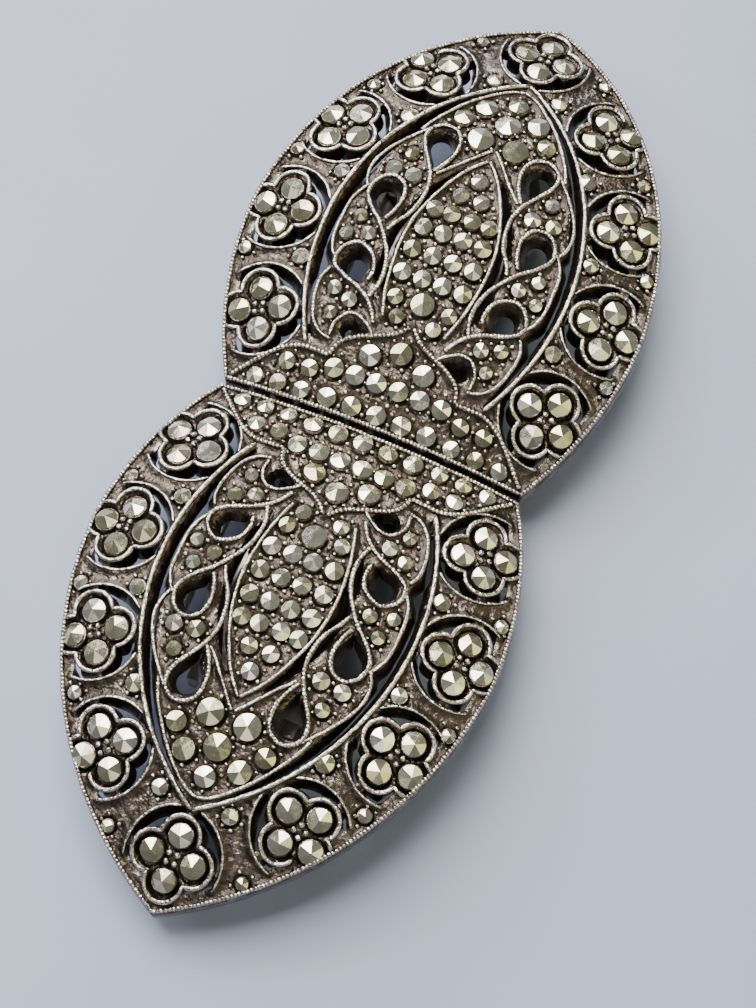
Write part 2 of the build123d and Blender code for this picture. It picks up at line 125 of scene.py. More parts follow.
# ---- wires ----
class Wire(NamedTuple):
    """lift is how far the centre line stands over the dome. A milgrain wire swells into beads, and
    bead_depth is the share of its radius that it loses between them."""

    radius: float
    lift: float
    bead_pitch: float = 0.0
    bead_depth: float = 0.0


RIM_WIRE = Wire(radius=0.20, lift=0.04, bead_pitch=0.30, bead_depth=0.34)
CROWN_WIRE = Wire(radius=0.22, lift=0.10, bead_pitch=0.32, bead_depth=0.34)
STRAND_WIRE = Wire(radius=0.21, lift=0.13, bead_pitch=0.29, bead_depth=0.22)
LEAF_WIRE = Wire(radius=0.16, lift=0.08, bead_pitch=0.25, bead_depth=0.15)
FRAME_WIRE = Wire(radius=0.20, lift=0.06)
OPENING_WIRE = Wire(radius=0.13, lift=0.02)
PETAL_WIRE = Wire(radius=0.19, lift=0.18)
WIRE_SIDES = 8
RINGS_PER_BEAD = 5
SMOOTH_WIRE_STEP = 0.16
# A wire's last rings narrow to these shares of its radius, and a wire has at least so many points.
WIRE_END_SHARES = (0.35, 0.85)
SHORTEST_RUN = 9

# ---- rosettes ----
STONES_PER_ROSETTE = 4
PETAL_LOOP = 1.42
PETAL_HALF_TURN = radians(99)
CUP_RADIUS = 1.3
CUP_DEPTH = 0.36
OPENING_LOOP = 3.62
CENTRE_BEAD = 0.26
CENTRE_BEAD_REACH = 0.44
CENTRE_BEAD_LIFT = 0.10
# Room that a wire leaves: a petal's to the outline, an opening's to the outline and the frame line.
PETAL_TO_OUTLINE = 0.3
OPENING_TO_OUTLINE = 0.75
OPENING_TO_FRAME = 0.3

# ---- plate surface: heights are over the dome ----
GRID_STEP = 0.14
GROUND = -0.20
WIRE_RIDGE = 0.24
WIRE_RIDGE_WIDTH = 0.28
SEAT_DEPTH = 0.22
SEAT_SLOPE_RUN = 0.2
SEAT_RIM = 0.26
CUP_SLOPE_RUN = 0.14
EDGE_ROUND = 0.3
EDGE_DROP = 0.17
OPENING_DRAFT = 0.40
OPEN_GROUND_RUN = 0.9
WIRE_FOOT = 0.12
# Paler band just inside every edge of the metal: rubbed wear together with a painted highlight.
RIM_WEAR_AND_PAINTED_HIGHLIGHT_AT = 0.12
RIM_WEAR_AND_PAINTED_HIGHLIGHT_WIDTH = 0.14
RELIEF_SEEDS = {"right": 3.0, "left": 40.0}

# ---- distance fields: a stamp reaches STAMP_REACH, and past that the value stays FAR ----
FAR = 3.0
STAMP_REACH = 1.5

# ---- stones and grains ----
FACETS = 6
SPANS_PER_FACET = 4
STONE_TILT = 0.12
STONE_RISE = 0.14
STONE_RISE_PER_RADIUS = 0.33
STONE_RISE_SPREAD = (0.92, 1.08)
FACET_FALL = 0.93
GIRDLE_RISE = 0.07
STONE_SINK = 0.3
COLLAR_SPANS = 24
ROSETTE_COLLAR_FOOT = -CUP_DEPTH - 0.05
BORDER_COLLAR_FOOT = -0.35
GRAIN_SMALLEST = 0.12
GRAIN_LARGEST = 0.20
GRAIN_GAP = 0.30
GRAIN_REACH = 0.42
GRAIN_SPREAD = (0.85, 1.0)
GRAIN_LIFT = (-0.13, -0.05)

# ---- edges sharper than this many degrees are shaded as creases ----
FACET_CREASE = 3.0
PLATE_CREASE = 38.0
WIRE_CREASE = 60.0


# =====================================================================================
# Plan geometry
# =====================================================================================
def arc_through(start, middle, end, step=0.1):
    """Points along the circular arc through three points."""
    (ax, ay), (bx, by), (cx, cy) = start, middle, end
    d = 2 * (ax * (by - cy) + bx * (cy - ay) + cx * (ay - by))
    a2, b2, c2 = ax * ax + ay * ay, bx * bx + by * by, cx * cx + cy * cy
    ux = (a2 * (by - cy) + b2 * (cy - ay) + c2 * (ay - by)) / d
    uy = (a2 * (cx - bx) + b2 * (ax - cx) + c2 * (bx - ax)) / d
    radius = hypot(ax - ux, ay - uy)
    first, mid, last = (atan2(y - uy, x - ux) for x, y in (start, middle, end))
    sweep = (last - first) % (2 * pi)
    if (mid - first) % (2 * pi) > sweep:
        sweep -= 2 * pi
    angles = first + np.linspace(0, sweep, max(3, ceil(abs(sweep) * radius / step)))
    return np.column_stack([ux + radius * np.cos(angles), uy + radius * np.sin(angles)])


def circle_path(centre, radius, start=0.0, sweep=2 * pi, step=0.1):
    angles = np.linspace(start, start + sweep, max(8, ceil(sweep * radius / step)))
    return np.column_stack([centre[0] + radius * np.cos(angles), centre[1] + radius * np.sin(angles)])


def smooth_curve(points):
    """Dense points along the Catmull-Rom curve through points."""
    points = np.array(points, float)
    padded = np.vstack([2 * points[0] - points[1], points, 2 * points[-1] - points[-2]])
    t = np.linspace(0, 1, 16, endpoint=False)[:, None]
    spans = []
    for a, b, c, d in zip(padded, padded[1:], padded[2:], padded[3:]):
        square = 2 * a - 5 * b + 4 * c - d
        cube = 3 * b - a - 3 * c + d
        spans.append(0.5 * (2 * b + (c - a) * t + square * t**2 + cube * t**3))
    return np.vstack(spans + [points[-1:]])


def resample(path, step):
    """The same path with its points an even step apart."""
    run = np.concatenate([[0], np.cumsum(np.hypot(*np.diff(path, axis=0).T))])
    stations = np.linspace(0, run[-1], max(3, round(run[-1] / step)) + 1)
    return np.column_stack([np.interp(stations, run, path[:, k]) for k in (0, 1)])


def twin(path):
    """The path mirrored across the clip's long axis."""
    return np.array(path, float) * (1, -1)


# =====================================================================================
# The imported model, read back in a clip's own frame
# =====================================================================================
WELD_DISTANCE = 0.001
BACK_TOLERANCE = 0.02


def welded(node, side):
    """The CAD node's mesh with shared points, as a bmesh in the clip's frame."""
    mesh = bmesh.new()
    mesh.from_mesh(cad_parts[node].data)
    turn = 1 if side == "right" else -1
    for vert in mesh.verts:
        vert.co = Vector((turn * vert.co.x / MM - SEAM_X, turn * vert.co.y / MM, vert.co.z / MM))
    bmesh.ops.remove_doubles(mesh, verts=mesh.verts, dist=WELD_DISTANCE)
    return mesh


def islands(mesh):
    """Points of each separate solid in a bmesh."""
    unseen = set(mesh.verts)
    found = []
    while unseen:
        stack = [unseen.pop()]
        island = []
        while stack:
            vert = stack.pop()
            island.append(tuple(vert.co))
            for edge in vert.link_edges:
                other = edge.other_vert(vert)
                if other in unseen:
                    unseen.remove(other)
                    stack.append(other)
        found.append(np.array(island))
    return found


def stones_in(node, side):
    """(u, v, radius) of every stone in a CAD node, where its axis meets the dome."""
    mesh = welded(node, side)
    stones = []
    for points in islands(mesh):
        arms = points - DOME_CENTRE
        axis = arms.mean(0) / np.linalg.norm(arms.mean(0))
        across = arms - np.outer(arms @ axis, axis)
        u, v, _ = DOME_CENTRE + axis * DOME_RADIUS
        stones.append((u, v, np.linalg.norm(across, axis=1).max()))
    mesh.free()
    return sorted(stones)


def rosettes_from(stones):
    """Stones gathered in fours: (centre, [stone, ...]) of each rosette."""
    left = list(stones)
    rosettes = []
    while left:
        first = left[0]
        left.sort(key=lambda stone: hypot(stone[0] - first[0], stone[1] - first[1]))
        four, left = left[:STONES_PER_ROSETTE], left[STONES_PER_ROSETTE:]
        centre = np.mean([stone[:2] for stone in four], axis=0)
        rosettes.append((centre, four))
    return rosettes


def plate_back():
    """(radius of the plate's domed back, ends of each straight bit of its rim and openings)."""
    mesh = welded("right_front_plate", "right")
    depths = {vert: (vert.co - Vector(DOME_CENTRE)).length for vert in mesh.verts}
    back = min(depths.values())
    on_back = {vert for vert, depth in depths.items() if depth < back + BACK_TOLERANCE}
    inner = {face for face in mesh.faces if all(vert in on_back for vert in face.verts)}
    segments = []
    for edge in mesh.edges:
        if sum(face in inner for face in edge.link_faces) == 1:
            segments.append([tuple(vert.co)[:2] for vert in edge.verts])
    mesh.free()
    return back, np.array(segments)


# =====================================================================================
# Distances on a plan grid
# =====================================================================================
MARGIN = 3 * GRID_STEP
GRID_U = np.arange(-MARGIN, CLIP_LENGTH + MARGIN, GRID_STEP)
GRID_V = np.arange(-CLIP_HALF_WIDTH - MARGIN, CLIP_HALF_WIDTH + MARGIN, GRID_STEP)
PLAN_U, PLAN_V = np.meshgrid(GRID_U, GRID_V, indexing="ij")


class Field:
    """Distance from each grid point to the nearest of the shapes stamped on it."""

    def __init__(self):
        self.value = np.full(PLAN_U.shape, FAR)

    def window(self, low, high):
        i0, i1 = np.searchsorted(GRID_U, (low[0] - STAMP_REACH, high[0] + STAMP_REACH))
        j0, j1 = np.searchsorted(GRID_V, (low[1] - STAMP_REACH, high[1] + STAMP_REACH))
        return slice(i0, i1), slice(j0, j1)

    def stamp_segment(self, a, b):
        area = self.window(np.minimum(a, b), np.maximum(a, b))
        du, dv = PLAN_U[area] - a[0], PLAN_V[area] - a[1]
        run_u, run_v = b[0] - a[0], b[1] - a[1]
        share = np.clip((du * run_u + dv * run_v) / max(run_u**2 + run_v**2, 1e-12), 0, 1)
        distance = np.hypot(du - share * run_u, dv - share * run_v)
        self.value[area] = np.minimum(self.value[area], distance)

    def stamp_path(self, path):
        for a, b in zip(path, path[1:]):
            self.stamp_segment(a, b)

    def stamp_disc(self, u, v, radius):
        area = self.window((u - radius, v - radius), (u + radius, v + radius))
        distance = np.hypot(PLAN_U[area] - u, PLAN_V[area] - v) - radius
        self.value[area] = np.minimum(self.value[area], distance)


def inside(segments):
    """True for the grid points that closed loops of segments go round an odd number of times."""
    result = np.zeros(PLAN_U.shape, bool)
    a, b = segments[:, 0], segments[:, 1]
    for j, v in enumerate(GRID_V):
        level = v + 1e-7
        crossing = (a[:, 1] > level) != (b[:, 1] > level)
        p, q = a[crossing], b[crossing]
        at = np.sort(p[:, 0] + (level - p[:, 1]) / (q[:, 1] - p[:, 1]) * (q[:, 0] - p[:, 0]))
        result[:, j] = np.searchsorted(at, GRID_U) % 2 == 1
    return result


def signed_distance(segments):
    """Distance to closed loops, above 0 inside them."""
    field = Field()
    for a, b in segments:
        field.stamp_segment(a, b)
    return np.where(inside(segments), field.value, -field.value)


def closed_segments(path):
    return np.stack([path, np.roll(path, -1, axis=0)], axis=1)


def sheet_shape(boundary):
    """Signed distance to the plate's edge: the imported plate, with its gaps scalloped by the leaves."""
    shape = signed_distance(boundary)
    outside = arc_through(*SCALLOPED_GAP_OUTSIDE)
    for gap in (np.vstack([smooth_curve(SCALLOPED_GAP), outside[::-1]]), smooth_curve(ALMOND_GAP)):
        for path in (gap, twin(gap)):
            shape = np.minimum(shape, -signed_distance(closed_segments(path)))
    return shape


# =====================================================================================
# Points on the dome
# =====================================================================================
def dome_normals(plan):
    """Outward unit normals of the dome over plan points."""
    across = np.column_stack([plan[:, 0] - DOME_CENTRE_U, plan[:, 1]])
    rise = np.sqrt(DOME_RADIUS**2 - (across**2).sum(1))
    return np.column_stack([across, rise]) / DOME_RADIUS


def on_dome(plan, lift):
    """Points that stand lift off the dome over plan points."""
    return DOME_CENTRE + dome_normals(plan) * (DOME_RADIUS + np.asarray(lift).reshape(-1, 1))


def ball_height(plan, radius):
    """Height of the ball of that radius round the dome's centre, over plan points."""
    return DOME_CENTRE[2] + np.sqrt(radius**2 - (plan[:, 0] - DOME_CENTRE_U) ** 2 - plan[:, 1] ** 2)


def stone_frame(u, v):
    """(place, outward axis, two directions across it) where a stone sits."""
    plan = np.array([[u, v]])
    axis = dome_normals(plan)[0]
    along = np.cross((0.0, 1.0, 0.0), axis)
    along /= np.linalg.norm(along)
    return on_dome(plan, 0.0)[0], axis, along, np.cross(axis, along)


# =====================================================================================
# Meshes
# =====================================================================================
class Soup:
    """Points, faces and a tone per point, gathered until they become one mesh."""

    def __init__(self):
        self.points = []
        self.faces = []
        self.tones = []
        self.count = 0

    def add(self, points, faces, tones):
        self.points.append(points)
        self.faces.extend((np.asarray(face) + self.count).tolist() for face in faces)
        self.tones.append(np.broadcast_to(tones, len(points)))
        self.count += len(points)


def grid_faces(rows, columns):
    """Quads of a rows by columns lattice whose columns close into a ring."""
    faces = []
    for i in range(rows - 1):
        here, beyond = i * columns, (i + 1) * columns
        for j in range(columns):
            m = (j + 1) % columns
            faces.append((here + j, here + m, beyond + m, beyond + j))
    return faces


def make_piece(side, name, soup, material, crease):
    """Turns a soup into an object that rides on its clip."""
    points = np.vstack(soup.points) + (SEAM_X, 0.0, 0.0)
    if side == "left":
        points[:, :2] *= -1
    mesh = bpy.data.meshes.new(f"{side}_{name}")
    mesh.from_pydata((points * MM).tolist(), [], soup.faces)
    tone = mesh.attributes.new("tone", "FLOAT", "POINT")
    tone.data.foreach_set("value", np.concatenate(soup.tones).astype(np.float32))
    mesh.materials.append(material)
    mesh.validate()
    mesh.shade_smooth()
    mesh.set_sharp_from_angle(angle=radians(crease))
    piece = bpy.data.objects.new(mesh.name, mesh)
    bpy.context.scene.collection.objects.link(piece)
    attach(piece, f"{side}_clip")
    return piece


# =====================================================================================
# Wires
# =====================================================================================
def bead_swell(wire, run):
    """Share of the wire's radius at each distance along it."""
    if not wire.bead_pitch:
        return np.ones(len(run))
    bulge = np.abs(np.sin(pi * run / wire.bead_pitch)) ** 0.8
    return 1 - wire.bead_depth + wire.bead_depth * bulge


def add_wire(soup, path, wire, rng):
    """Round wire along a plan path, half sunk in the dome, a little uneven as if laid by hand."""
    step = wire.bead_pitch / RINGS_PER_BEAD if wire.bead_pitch else SMOOTH_WIRE_STEP
    path = resample(path, step)
    count = len(path)
    run = np.arange(count) * step
    swell = bead_swell(wire, run)
    phase = rng.uniform(0, 2 * pi)
    waver = 1 + 0.05 * np.sin(run * 1.7 + phase) + 0.04 * np.sin(run * 4.3 + 2 * phase)
    radii = wire.radius * swell * waver
    for k, share in enumerate(WIRE_END_SHARES):
        radii[[k, -1 - k]] *= share
    centres = on_dome(path, wire.lift + 0.02 * np.sin(run * 1.1 + phase))
    normals = dome_normals(path)
    tangents = np.gradient(centres, axis=0)
    tangents /= np.linalg.norm(tangents, axis=1)[:, None]
    sides = np.cross(normals, tangents)
    sides /= np.linalg.norm(sides, axis=1)[:, None]
    angles = 2 * pi * np.arange(WIRE_SIDES) / WIRE_SIDES
    across = np.cos(angles)[None, :, None] * sides[:, None]
    upward = np.sin(angles)[None, :, None] * normals[:, None]
    points = centres[:, None] + radii[:, None, None] * (across + upward)
    lightness = 0.24 + 0.66 * np.clip(np.sin(angles), 0, 1) ** 1.3
    tones = np.repeat(swell, WIRE_SIDES) * np.tile(lightness, count)
    faces = grid_faces(count, WIRE_SIDES)
    faces.append(tuple(range(WIRE_SIDES))[::-1])
    faces.append(tuple((count - 1) * WIRE_SIDES + k for k in range(WIRE_SIDES)))
    soup.add(points.reshape(-1, 3), [face[::-1] for face in faces], np.clip(tones, 0, 1))


def border_paths():
    """Rim of the clip, just inside its outline, and the milgrain line along the seam."""
    seam_end = SEAM_HALF_WIDTH - RIM_INSET
    paths = [np.array([(RIM_INSET, -seam_end), (RIM_INSET, seam_end)])]
    for arc in OUTLINE_ARCS:
        path = arc_through(*arc)
        run = np.gradient(path, axis=0)
        inward = np.column_stack([run[:, 1], -run[:, 0]]) / np.hypot(*run.T)[:, None]
        path = path + RIM_INSET * inward
        paths += [path, twin(path)]
    return paths


def curved_paths(lines):
    """Smooth curves through plan lines, each with its twin."""
    paths = [smooth_curve(line) for line in lines]
    return paths + [twin(path) for path in paths]


def frame_paths():
    path = arc_through(*FRAME_ARC)
    return [path, twin(path)]


def outline_path():
    upper = np.vstack([arc_through(*arc) for arc in OUTLINE_ARCS])
    return np.vstack([upper, twin(upper)[::-1]])


def sample(field, path):
    """Values of a grid field along a path, blended between the four grid points round each point."""
    along = np.clip((path[:, 0] - GRID_U[0]) / GRID_STEP, 0, len(GRID_U) - 1.001)
    across = np.clip((path[:, 1] - GRID_V[0]) / GRID_STEP, 0, len(GRID_V) - 1.001)
    i, j = along.astype(int), across.astype(int)
    a, b = along - i, across - j
    near = field[i, j] * (1 - b) + field[i, j + 1] * b
    beyond = field[i + 1, j] * (1 - b) + field[i + 1, j + 1] * b
    return near * (1 - a) + beyond * a


def kept_runs(path, keep, closed):
    """Stretches of a path where keep is true."""
    if closed and not keep.all():
        start = int(np.argmin(keep))
        path, keep = np.roll(path, -start, axis=0), np.roll(keep, -start)
    edges = np.flatnonzero(np.diff(np.concatenate([[0], keep.astype(int), [0]])))
    runs = zip(edges[::2], edges[1::2])
    return [path[first:last] for first, last in runs if last - first >= SHORTEST_RUN]


def petal_paths(rosettes):
    """Open loop round each petal's stone, with its ends by the rosette's centre, inside the rim."""
    outline = signed_distance(closed_segments(outline_path()))
    paths = []
    for centre, petals in rosettes:
        for u, v, _ in petals:
            outward = atan2(v - centre[1], u - centre[0])
            start = outward - PETAL_HALF_TURN
            loop = circle_path((u, v), PETAL_LOOP, start, 2 * PETAL_HALF_TURN)
            paths += kept_runs(loop, sample(outline, loop) > PETAL_TO_OUTLINE, False)
    return paths


def opening_paths(rosettes, shape):
    """Rim of each rosette's opening, wherever it runs on metal inside the rosette band."""
    upper = arc_through(*FRAME_ARC)
    inner = signed_distance(closed_segments(np.vstack([upper, twin(upper)[::-1]])))
    outline = signed_distance(closed_segments(outline_path()))
    paths = []
    for centre, _ in rosettes:
        loop = circle_path(centre, OPENING_LOOP)
        in_outline = sample(outline, loop) > OPENING_TO_OUTLINE
        on_band = in_outline & (sample(inner, loop) < -OPENING_TO_FRAME)
        on_metal = sample(shape, loop) > 0.02
        paths += kept_runs(loop, on_band & on_metal, True)
    return paths


# =====================================================================================
# Plate
# =====================================================================================
def ripple(u, v, size, seed):
    """Smooth random height between about -1 and 1, with lumps of that size."""
    return noise.noise(Vector((u / size, v / size, seed)))


def plate_relief(shape, wires, stones, cups, seed):
    """(height over the dome, tone) of the plate's front at each grid point. Open ground is rubbed paler,
    the rims of openings are paler from rubbing and from a painted highlight, and the ground close to
    stones and wires stays dark."""
    edge = np.clip(shape, 0, None)
    height = np.full(PLAN_U.shape, GROUND)
    height += WIRE_RIDGE * np.exp(-((wires.value / WIRE_RIDGE_WIDTH) ** 2))
    height -= SEAT_DEPTH * np.clip((SEAT_RIM - stones.value) / SEAT_SLOPE_RUN, 0, 1)
    cup = np.clip(0.5 - cups.value / CUP_SLOPE_RUN, 0, 1)
    height -= (CUP_DEPTH + GROUND) * cup
    height -= EDGE_DROP * (1 - np.clip(edge / EDGE_ROUND, 0, 1)) ** 2
    near = np.minimum(stones.value, wires.value - WIRE_FOOT)
    tone = 0.04 + 0.40 * np.clip(near / OPEN_GROUND_RUN, 0, 1) + 0.10 * cup
    # Paler band along the edges: partly rubbed wear, partly a painted highlight.
    tone += 0.30 * np.exp(-((edge - RIM_WEAR_AND_PAINTED_HIGHLIGHT_AT) / RIM_WEAR_AND_PAINTED_HIGHLIGHT_WIDTH) ** 2)
    for i, u in enumerate(GRID_U):
        for j, v in enumerate(GRID_V):
            if shape[i, j] > -2 * GRID_STEP:
                lump = 0.06 * ripple(u, v, 1.3, seed) + 0.035 * ripple(u, v, 0.5, seed + 9)
                height[i, j] += lump
                tone[i, j] += 3.0 * lump + 0.12 * ripple(u, v, 0.7, seed + 5)
    return height, np.clip(tone, 0, 1)


CUT_MARGIN = 0.08


def trace_sheet(shape):
    """Cuts the grid's cells along the plate's edge. Gives each plan point as a share of the way from
    one grid point to another, then the faces, and the face edges that lie on the cut."""
    rows, columns = shape.shape
    solid = shape > 0
    number = np.full(shape.shape, -1)
    number[solid] = np.arange(solid.sum())
    first = np.argwhere(solid)
    blend = [(tuple(at), tuple(at), 0.0) for at in first]
    crossing = {}

    def cut_point(a, b):
        key = (a, b) if a < b else (b, a)
        if key not in crossing:
            share = shape[key[0]] / (shape[key[0]] - shape[key[1]])
            crossing[key] = len(blend)
            blend.append((key[0], key[1], min(max(share, CUT_MARGIN), 1 - CUT_MARGIN)))
        return crossing[key]

    faces = []
    cuts = []
    for i in range(rows - 1):
        for j in range(columns - 1):
            corners = ((i, j), (i + 1, j), (i + 1, j + 1), (i, j + 1))
            held = [solid[corner] for corner in corners]
            if not any(held):
                continue
            face = []
            leaving, entering = [], []
            for k in range(4):
                here, there = corners[k], corners[(k + 1) % 4]
                if held[k]:
                    face.append(int(number[here]))
                if held[k] != held[(k + 1) % 4]:
                    point = cut_point(here, there)
                    face.append(point)
                    (leaving if held[k] else entering).append((k, point))
            faces.append(face)
            for k, point in leaving:
                after = min(entering, key=lambda item: (item[0] - k) % 4)
                cuts.append((point, after[1]))
    return blend, faces, cuts


def drafted(plan, shape):
    """(plan points of the back, which of them edge an opening). An opening's walls lean in as they go
    down, as far as there is room, so that the opening is narrower at the back."""
    slope_u, slope_v = np.gradient(shape, GRID_STEP)
    into_metal = np.column_stack([sample(slope_u, plan), sample(slope_v, plan)])
    into_metal /= np.maximum(np.linalg.norm(into_metal, axis=1), 0.3)[:, None]
    room = -sample(shape, plan - OPENING_DRAFT * into_metal)
    outline = signed_distance(closed_segments(outline_path()))
    on_edge = np.abs(sample(shape, plan)) < 0.05
    on_opening = on_edge & (sample(outline, plan) > 0.5)
    lean = np.where(on_opening, np.clip(room, 0, OPENING_DRAFT), 0)
    return plan - lean[:, None] * into_metal, on_opening


def plate_mesh(traced, shape, back, height, tone):
    """Front with its relief, smooth domed back, and the walls between them. The walls of the
    openings darken to black towards the back: painted shade.
    """
    blend, faces, cuts = traced
    a = np.array([item[0] for item in blend])
    b = np.array([item[1] for item in blend])
    share = np.array([item[2] for item in blend])

    def between(values):
        return values[a[:, 0], a[:, 1]] * (1 - share) + values[b[:, 0], b[:, 1]] * share

    plan = np.column_stack([between(PLAN_U), between(PLAN_V)])
    front_z = ball_height(plan, DOME_RADIUS) + between(height)
    back_plan, on_opening = drafted(plan, shape)
    back_z = ball_height(back_plan, back)
    count = len(plan)
    soup = Soup()
    behind = [[index + count for index in face[::-1]] for face in faces]
    walls = [(end, start, start + count, end + count) for start, end in cuts]
    points = np.vstack([np.column_stack([plan, front_z]), np.column_stack([back_plan, back_z])])
    # The back is paler silver, but black where it edges an opening, so the openings' walls carry painted
    # shade.
    tones = np.concatenate([between(tone), np.where(on_opening, 0.0, 0.5)])
    soup.add(points, faces + behind + walls, tones)
    return soup


# =====================================================================================
# Stones, their seats and the grains between them
# =====================================================================================
def add_stone(soup, u, v, radius, rng):
    """Rose-cut stone: six flat facets that meet in a point over a round girdle."""
    place, axis, along, beside = stone_frame(u, v)
    tilts = [rng.uniform(-STONE_TILT, STONE_TILT) for _ in range(2)]
    axis = axis + tilts[0] * along + tilts[1] * beside
    axis /= np.linalg.norm(axis)
    along = np.cross(beside, axis)
    along /= np.linalg.norm(along)
    beside = np.cross(axis, along)
    rise = (STONE_RISE + STONE_RISE_PER_RADIUS * radius) * rng.uniform(*STONE_RISE_SPREAD)
    slope = rise / radius * FACET_FALL
    spans = FACETS * SPANS_PER_FACET
    turn = rng.uniform(0, 2 * pi)
    angles = 2 * pi * np.arange(spans) / spans
    from_facet = (angles % (2 * pi / FACETS)) - pi / FACETS
    top = GIRDLE_RISE + rise - slope * radius * np.cos(from_facet)
    ring = np.cos(angles + turn)[:, None] * along + np.sin(angles + turn)[:, None] * beside
    girdle = place + radius * ring + top[:, None] * axis
    base = place + radius * ring - STONE_SINK * axis
    apex = place + (GIRDLE_RISE + rise) * axis
    foot = place - STONE_SINK * axis
    points = np.vstack([apex[None], girdle, base, foot[None]])
    faces = []
    for k in range(spans):
        m = (k + 1) % spans
        faces.append((0, 1 + k, 1 + m))
        faces.append((1 + k, 1 + spans + k, 1 + spans + m, 1 + m))
        faces.append((1 + spans + k, 2 * spans + 1, 1 + spans + m))
    soup.add(points, faces, rng.random())


def add_collar(soup, u, v, radius, foot, rng):
    """Thin turned seat round a stone, rubbed over its girdle."""
    place, axis, along, beside = stone_frame(u, v)
    lean = 0.02 * rng.uniform(-1, 1)
    # Each ring: how far outside the stone, height over the dome, tone.
    rings = [(-0.03, -0.1, 0.05), (-0.01, 0.05 + lean, 0.3), (0.04, 0.06 + lean, 0.5),
             (0.09, 0.0, 0.35), (0.12, -0.12, 0.1), (0.13, foot, 0.0)]
    angles = 2 * pi * np.arange(COLLAR_SPANS) / COLLAR_SPANS
    ring = np.cos(angles)[:, None] * along + np.sin(angles)[:, None] * beside
    points = np.vstack([place + (radius + out) * ring + z * axis for out, z, _ in rings])
    tones = np.repeat([tone for _, _, tone in rings], COLLAR_SPANS)
    soup.add(points, [face[::-1] for face in grid_faces(len(rings), COLLAR_SPANS)], tones)


def ball_template():
    """(points, faces) of a ball of radius 1."""
    mesh = bmesh.new()
    bmesh.ops.create_icosphere(mesh, subdivisions=2, radius=1.0)
    points = np.array([tuple(vert.co) for vert in mesh.verts])
    faces = [tuple(vert.index for vert in face.verts) for face in mesh.faces]
    mesh.free()
    return points, faces


BALL_POINTS, BALL_FACES = ball_template()


def add_grain(soup, u, v, radius, lift):
    """Ball of metal whose centre stands lift over the dome, dark at its foot."""
    place, axis, along, beside = stone_frame(u, v)
    points = place + lift * axis + radius * (
        BALL_POINTS[:, :1] * along + BALL_POINTS[:, 1:2] * beside + BALL_POINTS[:, 2:] * axis
    )
    soup.add(points, BALL_FACES, np.clip(0.1 + 0.75 * BALL_POINTS[:, 2], 0, 1))


def grain_places(shape, wires, stones, cups, rng):
    """(u, v, radius) of the grains that hold the stones. They fill the ground close to the stones,
    from the largest room down."""
    room = np.minimum.reduce([shape - 0.05, wires.value - 0.16, stones.value, cups.value])
    room[stones.value > GRAIN_REACH] = 0
    places = []
    while True:
        at = np.unravel_index(np.argmax(room), room.shape)
        if room[at] < GRAIN_SMALLEST:
            return places
        radius = min(room[at], GRAIN_LARGEST) * rng.uniform(*GRAIN_SPREAD)
        u, v = PLAN_U[at], PLAN_V[at]
        places.append((u, v, radius))
        reach = int(ceil((GRAIN_LARGEST + radius) / GRID_STEP)) + 6
        area = tuple(slice(max(index - reach, 0), index + reach + 1) for index in at)
        distance = np.hypot(PLAN_U[area] - u, PLAN_V[area] - v) - radius - GRAIN_GAP
        room[area] = np.minimum(room[area], distance)


# =====================================================================================
# Materials
# =====================================================================================
class Shader:
    """A node material. Sockets are fed with plain values or with other nodes' outputs."""

    def __init__(self, name):
        self.material = bpy.data.materials.new(name)
        self.material.use_nodes = True
        self.tree = self.material.node_tree
        self.surface = self.tree.nodes["Principled BSDF"]

    def feed(self, socket, value):
        if isinstance(value, bpy.types.NodeSocket):
            self.tree.links.new(value, socket)
        else:
            socket.default_value = value

    def node(self, kind, inputs=(), **settings):
        node = self.tree.nodes.new("ShaderNode" + kind)
        for name, value in settings.items():
            setattr(node, name, value)
        for key, value in dict(inputs).items():
            self.feed(node.inputs[key], value)
        return node

    def set(self, **inputs):
        for name, value in inputs.items():
            self.feed(self.surface.inputs[name.replace("_", " ")], value)

    def place(self):
        return self.node("TexCoord").outputs["Object"]

    def facing_up(self):
        normal = self.node("TexCoord").outputs["Normal"]
        return self.node("SeparateXYZ", {0: normal}).outputs["Z"]

    def noise(self, scale, detail=4.0, roughness=0.6):
        inputs = {"Vector": self.place(), "Scale": scale, "Detail": detail, "Roughness": roughness}
        return self.node("TexNoise", inputs).outputs["Fac"]

    def math(self, operation, a, b=0.0, c=0.0, clamp=False):
        return self.node("Math", {0: a, 1: b, 2: c}, operation=operation, use_clamp=clamp).outputs[0]

    def ramp(self, factor, stops):
        node = self.node("ValToRGB", {"Fac": factor})
        elements = node.color_ramp.elements
        while len(elements) < len(stops):
            elements.new(0.5)
        for element, (position, colour) in zip(elements, stops):
            rgb = colour if isinstance(colour, tuple) else (colour, colour, colour)
            element.position = position
            element.color = (*rgb, 1.0)
        return node.outputs["Color"]

    def tone(self):
        return self.node("Attribute", attribute_name="tone").outputs["Fac"]

    def bump(self, height, distance, strength=1.0):
        inputs = {"Height": height, "Distance": distance, "Strength": strength}
        self.feed(self.surface.inputs["Normal"], self.node("Bump", inputs).outputs["Normal"])


